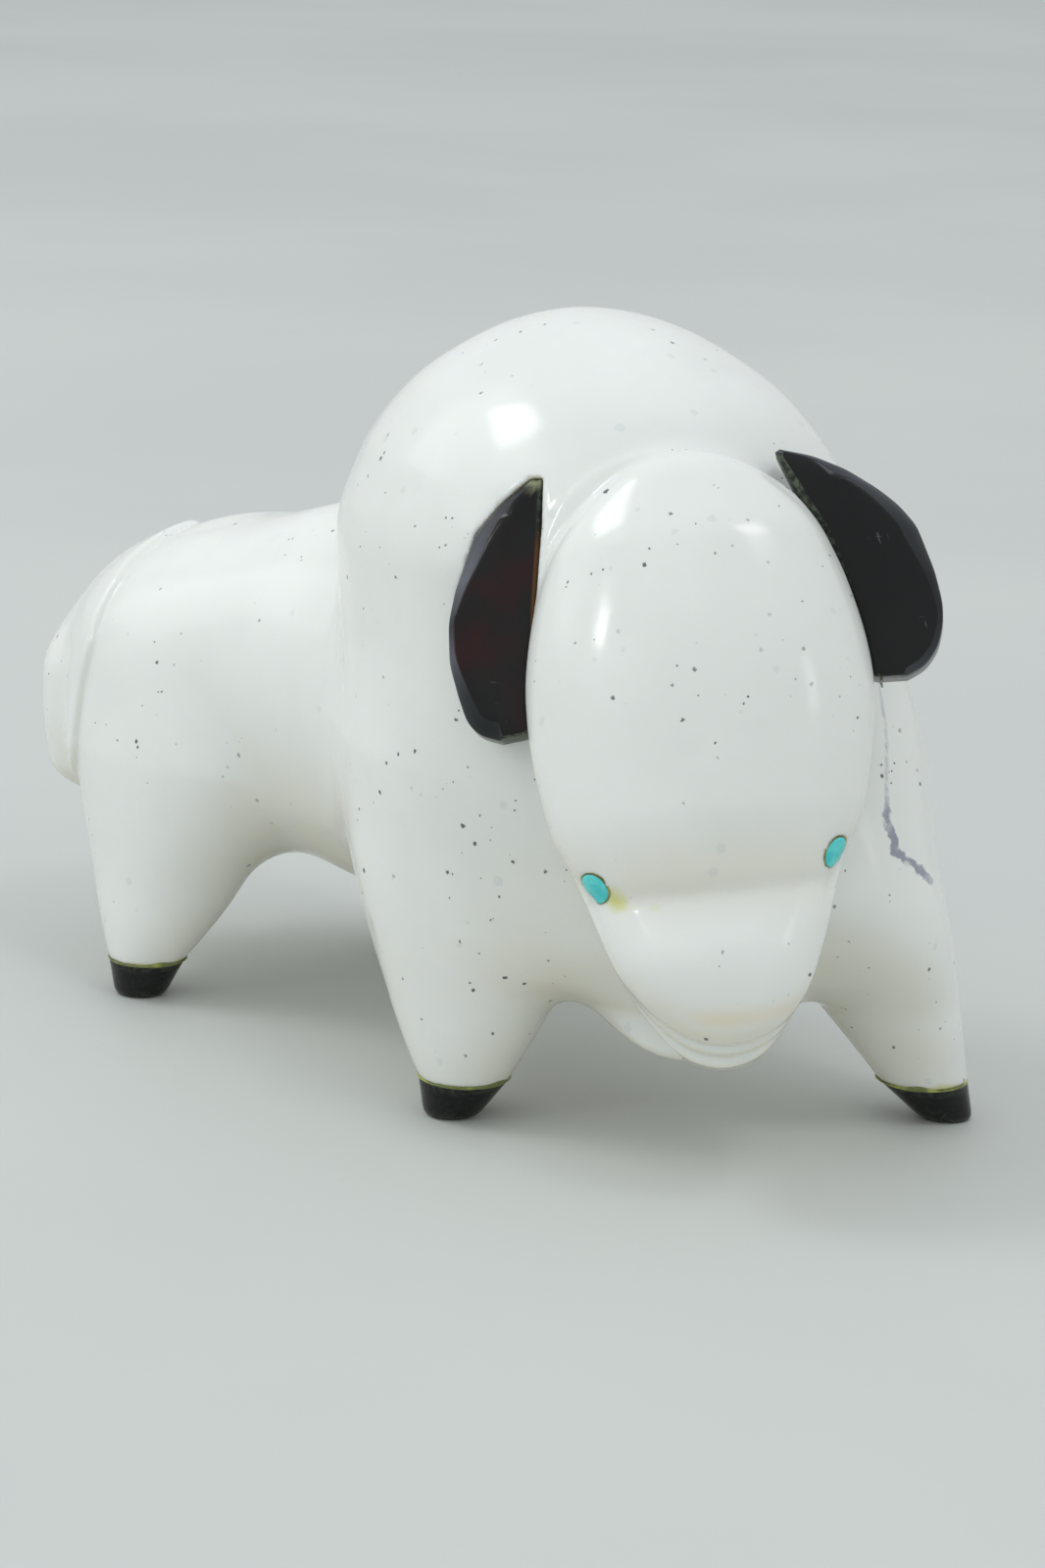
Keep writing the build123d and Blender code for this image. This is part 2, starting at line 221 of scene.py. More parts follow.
def oval_stack(t, p, q, stations, centres, half_p, half_q):
    """Signed distance, near its surface, to a form whose slices along t are ovals in p and q."""
    half_p, half_q = np.array(half_p, float), np.array(half_q, float)
    ratio = np.where(half_p > 0, half_p / np.where(half_q > 0, half_q, 1), 0)
    filled = np.flatnonzero(half_p > 0)
    nearest = filled[np.abs(np.arange(len(ratio))[:, None] - filled[None, :]).argmin(axis=1)]
    ratio = ratio[nearest]
    size, size_slope = read(smooth_curve(stations, half_p**2), t)
    k, k_slope = read(smooth_curve(stations, ratio), t)
    dp, dq = (place - centre_line(t, stations, centre) for place, centre in zip((p, q), centres))
    value = dp**2 + (k * dq) ** 2 - size
    along_p, along_q = 2 * dp, 2 * k**2 * dq
    along_t = 2 * k * k_slope * dq**2 - size_slope
    return value / np.sqrt(along_p**2 + along_q**2 + along_t**2 + 0.05 * np.abs(size) + 1e-3)


def blend(a, b, radius):
    """The union of two forms, rounded where they meet."""
    h = np.maximum(radius - np.abs(a - b), 0) / radius
    return np.minimum(a, b) - h * h * radius / 4


def meet(a, b, radius):
    """What two forms share, with the edge rounded."""
    return -blend(-a, -b, radius)


class Block:
    """A box of the grid, in the trunk's own millimetres."""

    def __init__(self, low, high):
        start = np.maximum(np.floor((np.array(low) - grid_low) / cell).astype(int), 0)
        stop = np.minimum(np.ceil((np.array(high) - grid_low) / cell).astype(int) + 1, grid_shape)
        self.cut = tuple(slice(a, b) for a, b in zip(start, stop))
        axes = [(grid_low[i] + cell * np.arange(start[i], stop[i])).astype(np.float32) for i in range(3)]
        self.x = axes[0][:, None, None]
        self.y = axes[1][None, :, None]
        self.z = axes[2][None, None, :]


def upright_stack(block, slices):
    """A form whose slices are level, such as a leg."""
    level, cx, cy, half_x, half_y = zip(*slices)
    return oval_stack(block.z, block.x, block.y, level, (cx, cy), half_x, half_y).astype(np.float32)


def reach_of(slices, margin):
    """The corners of a box round an upright form."""
    level, cx, cy, half_x, half_y = (np.array(column) for column in zip(*slices))
    low = (np.min(cx - half_x) - margin, np.min(cy - half_y) - margin, np.min(level) - margin)
    high = (np.max(cx + half_x) + margin, np.max(cy + half_y) + margin, np.max(level) + margin)
    return low, high


face_out = np.array([
    -np.sin(head_turn) * np.cos(head_lean), -np.cos(head_turn) * np.cos(head_lean), np.sin(head_lean)])
level_left = np.array([np.cos(head_turn), -np.sin(head_turn), 0])
face_left = level_left * np.cos(head_roll) + np.cross(face_out, level_left) * np.sin(head_roll)
face_up = np.cross(face_out, face_left)


def on_head(left, up, out):
    """A point of the head, in the trunk's own millimetres."""
    return head_middle + face_left * left + face_up * up + face_out * out


def head_axes(block):
    """Places of a block's cells to the head's left, up the mask and out of the face."""
    offset = [block.x - head_middle[0], block.y - head_middle[1], block.z - head_middle[2]]
    return [sum(o * a for o, a in zip(offset, axis)) for axis in (face_left, face_up, face_out)]


def face_middle(up):
    """The line down the middle of the mask, which bows a little to the right below the eyes."""
    return np.interp(up, [-24.0, -18.2, -11.0, -5.5, 4.0], [0.1, -0.5, -0.55, -0.3, 0.0])


def flat_stack(left, up, out, slices):
    """A form of the head, whose slices lie along the mask."""
    level, half, full = zip(*slices)
    middle = np.zeros(len(slices))
    return oval_stack(up, left - face_middle(up), out, level, (middle, middle), half, full)


def mask_band(left, up, out, drop, front, back, narrower=0.0):
    """A thin plate with the mask's outline, let down and drawn in, lying between two depths."""
    level, half = zip(*neck_slices)
    square, slope = read(smooth_curve(np.array(level) - drop, (np.array(half) * (1 - narrower)) ** 2), up)
    left = left - face_middle(up) + 5 * narrower
    side = (left**2 - square) / np.sqrt(4 * left**2 + slope**2 + 1.0)
    return meet(side, np.abs(out - (front + back) / 2) - (front - back) / 2, 0.4)


def horn_prism(left, up, out, side):
    """Distances to a horn's outline and to the straight-sided block that it is ground from."""
    corners = np.array(horn_outlines[side]) * (sides[side], 1)
    nearest = np.full(np.broadcast(left, up, out).shape, 1e6)
    inside = np.zeros(nearest.shape, bool)
    for (ax, ay), (bx, by) in zip(corners, np.roll(corners, -1, axis=0)):
        ex, ey = bx - ax, by - ay
        share = np.clip(((left - ax) * ex + (up - ay) * ey) / (ex * ex + ey * ey), 0, 1)
        nearest = np.minimum(nearest, (left - ax - ex * share) ** 2 + (up - ay - ey * share) ** 2)
        crosses = (ay > up) != (by > up)
        inside ^= crosses & (left < ax + ex * (up - ay) / (ey if ey else 1e-9))
    plan = np.sqrt(nearest) * np.where(inside, -1, 1)
    return plan, np.maximum(plan, np.abs(out - horn_front + horn_thickness / 2) - horn_thickness / 2)


def horn_block(side):
    """The part of the grid round one horn."""
    left, up, out = horn_middle
    middle = on_head(sides[side] * left, up, out)
    return Block(middle - horn_reach, middle + horn_reach)


grid_low = np.array(cad_box[0]) / MM - spine - grid_margin
grid_high = np.array(cad_box[1]) / MM - spine + grid_margin
grid_shape = np.ceil((grid_high - grid_low) / cell).astype(int) + 1


def value_at(field, points):
    """The field between its grid points."""
    place = np.clip((points - grid_low) / cell, 0, np.array(field.shape) - 1.001)
    whole = place.astype(int)
    part = place - whole
    total = 0
    for corner in range(8):
        step = np.array([corner & 1, corner >> 1 & 1, corner >> 2 & 1])
        weight = np.prod(np.where(step, part, 1 - part), axis=-1)
        index = whole + step
        total = total + weight * field[index[..., 0], index[..., 1], index[..., 2]]
    return total


def slope_at(field, points):
    """The way straight out of the surface at each point."""
    step = cell * 0.6
    slope = np.stack([
        value_at(field, points + step * axis) - value_at(field, points - step * axis) for axis in np.eye(3)
    ], axis=-1) / (2 * step)
    return slope / np.linalg.norm(slope, axis=-1, keepdims=True)


def settle(field, points):
    """Points moved square onto the carving's surface."""
    for _ in range(3):
        points = points - slope_at(field, points) * value_at(field, points)[..., None]
    return points


def carve_trunk(everything):
    """The hump and the back."""
    hump = upright_stack(everything, hump_slices)
    place, half, rise, drop = (np.array(column) for column in zip(*back_slices))
    flat = np.zeros(len(place))
    upper, lower = (
        oval_stack(everything.y, everything.x, everything.z, place, (flat, flat + flank), half, height)
        for height in (rise, drop))
    back = np.where(everything.z > flank, upper, lower).astype(np.float32)
    # The crease behind the hump is crisp along the spine and fades down the flank.
    softness = by_table(everything.z, [(22.0, 5.0), (36.0, 2.2), (46.0, 0.5)]).astype(np.float32)
    return blend(hump, back, softness)


def add_legs(field):
    """Each leg, with a fillet that is widest at the flank and closes before the leg's top."""
    for slices in legs.values():
        block = Block(*reach_of(slices, 16))
        top = slices[-1][0]
        fillet = by_table(block.z, [(8.0, 3.0), (14.0, 5.0), (top - 20, 5.5), (top - 6, 0.8)])
        leg = upright_stack(block, slices)
        field[block.cut] = blend(field[block.cut], leg, fillet.astype(np.float32))


def add_tail(field):
    """The tail and the raised flap that it lies on."""
    block = Block(*tail_box)
    flap = meet(by_table(block.z, flap_front) - block.y, block.x - by_table(block.z, flap_left), 1.5)
    flap = meet(flap, flap_bottom - block.z, 4.0)
    flap = meet(flap, field[block.cut] - flap_rise, 0.9)
    tail = blend(flap, upright_stack(block, tail_slices), 2.5)
    field[block.cut] = blend(field[block.cut], tail, 0.3)


def add_neck(field, block, left, up, out):
    """The neck behind the mask, with the shells under the chin."""
    slices = [(level, half, neck_depth * np.sqrt(half / mask_half_width)) for level, half in neck_slices]
    neck = np.maximum(flat_stack(left, up, out, slices), out + neck_setback)
    body = blend(field[block.cut], neck, 2.0)
    for drop, front, back, narrower in chin_shells:
        body = blend(body, mask_band(left, up, out, drop, front, back, narrower), 0.3)
    field[block.cut] = body


def open_pockets(field):
    """A pocket for each horn, a little wider than the horn all round."""
    for side in sides:
        near = horn_block(side)
        left, up, out = head_axes(near)
        plan, _ = horn_prism(left, up, out, side)
        pocket = np.maximum(plan - pocket_gap, horn_front - pocket_floor - out)
        field[near.cut] = meet(field[near.cut], -pocket, 0.25)


def add_mask(field, block, left, up, out):
    """Forehead and muzzle with the valley of the brow between them, on a thin rim."""
    mask = blend(flat_stack(left, up, out, forehead_slices), flat_stack(left, up, out, muzzle_slices), 0.4)
    rim = 0.35 - 0.8 * np.exp(-((up - eye_places["left"][1]) / 4.0) ** 2)
    mask = blend(mask, mask_band(left, up, out, 0.0, rim, -0.8), 0.5)
    field[block.cut] = blend(field[block.cut], mask, 0.35)


def clear_horns(field):
    """Stone taken away where the horns stand, so that the mask doesn't cut into them."""
    for side in sides:
        near = horn_block(side)
        _, horn = horn_prism(*head_axes(near), side)
        field[near.cut] = np.maximum(field[near.cut], horn_gap - horn)


def carve():
    """The whole carving as one field on the grid."""
    everything = Block(grid_low, grid_high)
    field = carve_trunk(everything)
    add_legs(field)
    add_tail(field)
    block = Block(head_middle - head_reach, head_middle + head_reach)
    head = head_axes(block)
    add_neck(field, block, *head)
    open_pockets(field)
    add_mask(field, block, *head)
    clear_horns(field)
    return np.maximum(field, hoof_joint - everything.z)


def eye_frame(look):
    """The two ways across an eye: to the side and up the face."""
    aside = np.cross(look, face_up)
    aside /= np.linalg.norm(aside)
    return aside, np.cross(look, aside)


def eye_axis(field, side):
    """An eye's place on the stone and the way that it looks."""
    place = settle(field, on_head(*eye_places[side], 1.6)[None])[0]
    reach = np.array([(np.cos(a), np.sin(a)) for a in np.linspace(0, 2 * np.pi, 12, endpoint=False)])
    aside, upward = eye_frame(slope_at(field, place[None])[0])
    around = place + eye_radius * (reach[:, :1] * aside - reach[:, 1:] * upward)
    look = slope_at(field, around).mean(axis=0)
    return place, look / np.linalg.norm(look)


def bore(field, side, place, look):
    """A blind hole for an eye."""
    block = Block(place - 6, place + 6)
    offset = [block.x - place[0], block.y - place[1], block.z - place[2]]
    aside, upward = eye_frame(look)
    along, across, above = (sum(o * a for o, a in zip(offset, axis)) for axis in (look, aside, upward))
    apart = np.sqrt((across / eye_width[side]) ** 2 + above**2)
    hole = np.maximum(apart - eye_radius, -along - eye_depth - 0.1)
    field[block.cut] = np.maximum(field[block.cut], -hole)


# ---------------------------------------------------------------- meshes
def make_piece(name, points, faces, material, node):
    """A piece in the part's frame from points in the trunk's millimetres."""
    mesh = bpy.data.meshes.new(name)
    mesh.from_pydata(((np.asarray(points) + spine) * MM).tolist(), [], [list(face) for face in faces])
    shape = bmesh.new()
    shape.from_mesh(mesh)
    bmesh.ops.recalc_face_normals(shape, faces=shape.faces)
    shape.to_mesh(mesh)
    shape.free()
    mesh.shade_smooth()
    mesh.materials.append(material)
    piece = bpy.data.objects.new(name, mesh)
    bpy.context.collection.objects.link(piece)
    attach(piece, "root")
    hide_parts(node)
    return piece


def mark(piece, name, values):
    """One number per point, read by the piece's material."""
    layer = piece.data.attributes.new(name, "FLOAT", "POINT")
    layer.data.foreach_set("value", np.asarray(values, np.float32).ravel())


def ring_faces(rings, count):
    """Faces between rings of points, with the first and the last ring closed."""
    faces = []
    for ring in range(rings - 1):
        for i in range(count):
            j = (i + 1) % count
            faces.append((ring * count + i, ring * count + j, (ring + 1) * count + j, (ring + 1) * count + i))
    faces.append(tuple(range(count)))
    faces.append(tuple(range((rings - 1) * count, rings * count)))
    return faces


def path_distance(points, path):
    """How far each point lies from a path of straight lines."""
    nearest = np.full(len(points), 1e6)
    path = np.array(path, float)
    for a, b in zip(path[:-1], path[1:]):
        share = np.clip((points - a) @ (b - a) / ((b - a) @ (b - a)), 0, 1)
        nearest = np.minimum(nearest, np.linalg.norm(points - a - share[:, None] * (b - a), axis=1))
    return nearest


def mark_vein(piece, field, points):
    """How far each point lies from the vein, and how wide the vein is there."""
    path = np.array(vein_path)
    share = np.linspace(0, len(path) - 1, 41)
    path = np.stack([np.interp(share, np.arange(len(path)), column) for column in path.T], axis=1)
    path = settle(field, path)
    mark(piece, "vein", path_distance(points, path))
    mark(piece, "vein_width", by_table(points[:, 2], vein_widths))


def mark_stains_and_shade(piece, field, points, eyes):
    """Where the stone gets a beige tint that is partly its own and partly painted shade (in the brow's
    valley, along the chin and on surfaces facing down), and how far each point lies from the old glue.
    """
    left, up, out = ((points - head_middle) @ axis for axis in (face_left, face_up, face_out))
    on_face = out > -1.2
    # Painted shade: beige darkening in the brow's valley, along the chin and on surfaces that face down,
    # where shade and bounce light from the floor fall; partly the stone's own tint.
    brow = 0.5 * np.exp(-((up + 11.2) / 2.6) ** 2 - (left / 9.5) ** 4) * on_face
    chin = np.exp(-((up + 23.2 - 0.03 * (left - 1) ** 2) / 0.8) ** 2 - ((left - 2.0) / 5.5) ** 4) * on_face
    facing = slope_at(field, points)[:, 2]
    under = 0.75 * np.interp(-facing, [0.0, 0.7], [0, 1])
    mark(piece, "painted_shade_and_tint", np.maximum(np.maximum(brow, chin), under))
    flat = np.stack([left, up, 0 * up], 1)
    smear = path_distance(flat, [(-8.6, -12.2, 0), (-8.2, -12.7, 0)])
    faint = path_distance(flat, [(-6.9, -13.2, 0), (-5.0, -13.5, 0)]) + 0.75
    mark(piece, "stain", np.where(on_face, np.minimum(smear, faint), 9.0))
    around = [np.linalg.norm(points - place, axis=1) for place, _ in eyes.values()]
    mark(piece, "eye_rim", np.min(around, axis=0))
    mark(piece, "ankle", points[:, 2] - hoof_joint)


def make_stone(field, eyes):
    """The polished skin of the whole stone."""
    grid = openvdb.FloatGrid(background=5.0)
    grid.copyFromArray(np.ascontiguousarray(np.clip(field, -5, 5), dtype=np.float32))
    points, quads = grid.convertToQuads(isovalue=0.0)
    points = settle(field, points * cell + grid_low)
    piece = make_piece("carved_skin", points, quads, stone_material(), "stone_body")
    mark_vein(piece, field, points)
    mark_stains_and_shade(piece, field, points, eyes)


def make_eye(side, field, place, look):
    """A short pin of turquoise, its end ground flush with the stone, in a thin cup of adhesive."""
    aside, upward = eye_frame(look)
    angle = np.linspace(0, 2 * np.pi, 48, endpoint=False)
    around = np.cos(angle)[:, None] * aside * eye_width[side] + np.sin(angle)[:, None] * upward

    def flush(radius, lift):
        flat = place + around * radius
        for _ in range(3):
            flat = flat - look * (value_at(field, flat) / (slope_at(field, flat) @ look).clip(0.5))[:, None]
        return flat + look * lift

    def sunk(radius, depth):
        return place + around * radius - look * depth

    wall = eye_radius - pin_gap
    rings = [sunk(wall, eye_depth)]
    crown = [(1.0, -0.08), (0.985, 0.0), (0.95, 0.05), (0.8, 0.09), (0.55, 0.11), (0.3, 0.12), (0.1, 0.12)]
    for share, lift in crown:
        rings.append(flush(wall * share, lift))
    make_piece(f"inlaid_eye_{side}", np.concatenate(rings), ring_faces(len(rings), len(angle)),
               finishes["turquoise"], f"eye_{side}")
    cup = [
        sunk(wall - pin_gap, eye_depth), flush(wall - pin_gap, -0.12), flush(wall, -0.02),
        flush(eye_radius + 0.005, 0.0), flush(eye_radius + 0.03, -0.25),
        sunk(eye_radius + 0.02, eye_depth + 0.08),
    ]
    make_piece(f"eye_bedding_{side}", np.concatenate(cup), ring_faces(len(cup), len(angle)),
               finishes["adhesive"], f"eye_glue_{side}")


def horn_outline(side):
    """A horn's outline in short steps, which steps lie past the foot, and the corners it was drawn from."""
    corners = np.array(horn_outlines[side], float)
    foot = int(np.argmin(corners[:, 1]))
    outline, outer, fixed = [], [], []
    for i, (a, b) in enumerate(zip(corners, np.roll(corners, -1, axis=0))):
        steps = max(int(np.hypot(*(b - a)) / horn_step), 1)
        for k in range(steps):
            outline.append(a + (b - a) * k / steps)
            outer.append(i >= foot)
            fixed.append(k == 0 and i in (0, foot, len(corners) - 1))
    outline, outer, fixed = np.array(outline), np.array(outer), np.array(fixed)
    for _ in range(5):
        softer = (np.roll(outline, 1, axis=0) + 2 * outline + np.roll(outline, -1, axis=0)) / 4
        outline = np.where(fixed[:, None], outline, softer)
    return outline, outer, corners, foot


def horn_heart(outline, corners, foot):
    """For each point of a horn's outline, the point midway across the horn at about its height."""
    height = np.clip(outline[:, 1], corners[foot, 1] + 2.2, corners[0, 1] - 3.0)
    inner_x = np.interp(height, corners[foot::-1, 1], corners[foot::-1, 0])
    edge = corners[foot + 1:]
    rising = edge[np.argsort(edge[:, 1])]
    outer_x = np.interp(height, rising[:, 1], rising[:, 0])
    return np.stack([(inner_x + outer_x) / 2, height], axis=1)


def mark_horn(piece, side, local, outer, rings):
    """Where a horn is frosted, amber, red or pale at the tip, and where its ground outer edge gets a painted
    highlight, by place along it and by ring from back to front.
    """
    up = local[:, 1]
    ring = np.arange(rings)[:, None]
    looks = horn_looks[side]
    edge = ~outer * (ring < looks["edge_rings"])
    # Rings 5 to 7 are the ground outer edge, which carries a painted highlight: a grey sheen in the colour.
    painted_bevel_sheen = outer * np.isin(ring, (5, 6, 7))
    mark(piece, "frosted", edge.ravel() * by_table(up, looks["frosted"]))
    mark(piece, "amber", edge.ravel() * by_table(up, looks["amber"]))
    tip = np.interp(up - 0.4 * np.abs(local[:, 0] + 11.9), [22.8, 23.4], [0, 1])
    mark(piece, "tip", tip * looks["pale_tip"])
    mark(piece, "red", np.full(len(up), looks["red"]))
    mark(piece, "painted_bevel_sheen", painted_bevel_sheen.ravel() * by_table(up, looks["painted_bevel_sheen"]))


def make_horn(side):
    """A flat crescent of jet with ground edges."""
    outline, outer, corners, foot = horn_outline(side)
    inward = horn_heart(outline, corners, foot) - outline
    length = np.linalg.norm(inward, axis=1, keepdims=True)
    inward /= length
    ground = [by_table(outline[:, 1], horn_looks[side][edge]) for edge in ("outer_width", "inner_width")]
    width = np.minimum(np.where(outer, *ground), length[:, 0] * 0.7)[:, None]
    depth = np.where(outer[:, None], width * 0.8, width * 0.5)
    back = horn_front - horn_thickness
    count = len(outline)

    def ring(inset, out):
        flat = outline + inward * inset
        return np.concatenate([flat * (sides[side], 1), np.broadcast_to(out, (count, 1))], axis=1)

    rings = [
        ring(length * 0.9, back), ring(0.6, back), ring(0.1, back + 0.12), ring(0.0, back + 0.4),
        ring(0.0, horn_front - depth - 0.12), ring(0.04, horn_front - depth + 0.02),
        ring(width * 0.5, horn_front - depth * 0.47), ring(width - 0.05, horn_front - 0.04),
        ring(width + 0.1, horn_front + 0.01), ring(width + (length - width) * 0.35, horn_front + 0.10),
        ring(width + (length - width) * 0.7, horn_front + 0.16), ring(length * 0.95, horn_front + 0.18),
    ]
    local = np.concatenate(rings)
    points = head_middle + local @ np.stack([face_left, face_up, face_out])
    piece = make_piece(f"jet_horn_{side}", points, ring_faces(len(rings), count), finishes["jet"],
                       f"horn_{side}")
    mark_horn(piece, side, local, outer, len(rings))


def make_hoof(name, place):
    """A cone of jet, wider at the joint, with a worn sole."""
    x, y, radius, toe_x, toe_y = place
    angle = np.linspace(0, 2 * np.pi, 72, endpoint=False)
    wobble = 0.02 * np.sin(2 * angle + x) + 0.015 * np.sin(3 * angle + y) + 0.008 * np.sin(7 * angle + x)
    level_and_shrink = [
        (hoof_height, 0.5), (hoof_height, 0.05), (3.42, 0.0), (2.6, 0.0), (1.7, 0.0), (0.9, 0.0),
        (0.42, 0.05), (0.16, 0.2), (0.03, 0.42), (0.0, 0.7), (0.0, 1.6),
    ]
    rings = []
    for z, shrink in level_and_shrink:
        share = z / hoof_height
        wide = (sole_radius + (radius - sole_radius) * share - shrink) * (1 + wobble * (1 - share) * 0.8)
        across = x + toe_x * (1 - share) + wide * np.cos(angle)
        along = y + toe_y * (1 - share) + wide * np.sin(angle)
        rings.append(np.stack([across, along, np.full(len(angle), z)], axis=1))
    piece = make_piece(f"jet_hoof_{name}", np.concatenate(rings), ring_faces(len(rings), len(angle)),
                       finishes["jet"], f"hoof_{name}")
    height = np.concatenate(rings)[:, 2]
    mark(piece, "frosted", by_table(height, [(0, 0.8), (0.6, 0.1), (3.1, 0.0), (hoof_height, 0.5)]))
    for plain in ("amber", "tip", "red", "painted_bevel_sheen"):
        mark(piece, plain, 0 * height)


def make_hoof_glue(name, place, field, random):
    """Adhesive squeezed out of a hoof's joint as an uneven thin bead."""
    x, y, radius, _, _ = place
    angle = np.linspace(0, 2 * np.pi, 96, endpoint=False)
    way = np.stack([np.cos(angle), np.sin(angle), 0 * angle], axis=1)
    swell = sum(random.normal() * np.cos(k * angle + random.uniform(0, 6.3)) / k**0.7 for k in range(1, 9))
    swell = (swell - swell.min()) / (swell.max() - swell.min())
    inside = radius - 0.6
    rings = [np.array([x, y, hoof_height]) + way * inside]
    for z, lift in ((3.44, -0.02), (3.47, 0.02)):
        rings.append(np.array([x, y, z]) + way * (radius + lift))
    for share, lift in ((0.1, 0.05), (0.5, 0.05), (0.85, 0.03), (1.0, -0.03)):
        z = 3.56 + (0.05 + 0.45 * swell**2) * share
        start = np.array([x, y, 0]) + way * (radius + 0.02)
        start[:, 2] = z
        above = start.copy()
        above[:, 2] = np.maximum(z, hoof_joint + 0.25)
        gap = value_at(field, above)
        rings.append(start + way * (lift - np.clip(gap, -0.3, 0.3))[:, None])
    rings.append(np.array([x, y, hoof_joint]) + way * inside)
    make_piece(f"joint_glue_{name}", np.concatenate(rings), ring_faces(len(rings), len(angle)),
               finishes["adhesive"], f"hoof_glue_{name}")


# ---------------------------------------------------------------- materials
class Shading:
    """A material's node tree, with short names for the nodes that are used most."""

    def __init__(self, name):
        self.material = bpy.data.materials.new(name)
        self.material.use_nodes = True
        self.tree = self.material.node_tree
        self.shader = self.tree.nodes["Principled BSDF"]
        self.place = self.tree.nodes.new("ShaderNodeTexCoord").outputs["Object"]

    def put(self, value, socket):
        if isinstance(value, bpy.types.NodeSocket):
            self.tree.links.new(value, socket)
        else:
            socket.default_value = value

    def set(self, **values):
        for name, value in values.items():
            self.put(value, self.shader.inputs[name.replace("_", " ")])

    def math(self, operation, a, b=0.0, c=0.0):
        node = self.tree.nodes.new("ShaderNodeMath")
        node.operation = operation
        for socket, value in zip(node.inputs, (a, b, c)):
            self.put(value, socket)
        return node.outputs[0]

    def ramp(self, value, low, high, start=0.0, stop=1.0):
        """A smooth change from start to stop while the value goes from low to high."""
        node = self.tree.nodes.new("ShaderNodeMapRange")
        node.interpolation_type = "SMOOTHSTEP"
        for socket, item in zip(node.inputs, (value, low, high, start, stop)):
            self.put(item, socket)
        return node.outputs[0]

    def mix(self, share, a, b):
        node = self.tree.nodes.new("ShaderNodeMix")
        node.data_type = "RGBA"
        self.put(share, node.inputs[0])
        self.put(a, node.inputs[6])
        self.put(b, node.inputs[7])
        return node.outputs[2]

    def noise(self, scale, detail=3.0, stretch=(1, 1, 1), turn=(0, 0, 0)):
        mapping = self.tree.nodes.new("ShaderNodeMapping")
        self.put(self.place, mapping.inputs[0])
        mapping.inputs["Rotation"].default_value = turn
        mapping.inputs["Scale"].default_value = stretch
        node = self.tree.nodes.new("ShaderNodeTexNoise")
        self.put(mapping.outputs[0], node.inputs["Vector"])
        node.inputs["Scale"].default_value = scale
        node.inputs["Detail"].default_value = detail
        return node.outputs["Fac"]

    def specks(self, spacing, small, large, share):
        """Round grains scattered through the stone: 1 inside a grain, 0 outside."""
        node = self.tree.nodes.new("ShaderNodeTexVoronoi")
        self.put(self.place, node.inputs["Vector"])
        node.inputs["Scale"].default_value = 1 / (spacing * MM)
        split = self.tree.nodes.new("ShaderNodeSeparateColor")
        self.put(node.outputs["Color"], split.inputs[0])
        size = self.ramp(split.outputs[0], 1 - share, 1.0, small / spacing, large / spacing)
        kept = self.math("GREATER_THAN", split.outputs[0], 1 - share)
        wobble = self.math("MULTIPLY", self.math("SUBTRACT", self.noise(3200, 2), 0.5), 0.36 / spacing)
        reach = self.math("ADD", node.outputs["Distance"], wobble)
        edge = self.math("SUBTRACT", 1.0, self.ramp(self.math("DIVIDE", reach, size), 0.75, 1.15))
        return self.math("MULTIPLY", edge, kept)

    def attribute(self, name):
        node = self.tree.nodes.new("ShaderNodeAttribute")
        node.attribute_name = name
        return node.outputs["Fac"]

    def bump(self, height, strength, distance):
        node = self.tree.nodes.new("ShaderNodeBump")
        node.inputs["Strength"].default_value = strength
        node.inputs["Distance"].default_value = distance * MM
        self.put(height, node.inputs["Height"])
        self.put(node.outputs[0], self.shader.inputs["Normal"])


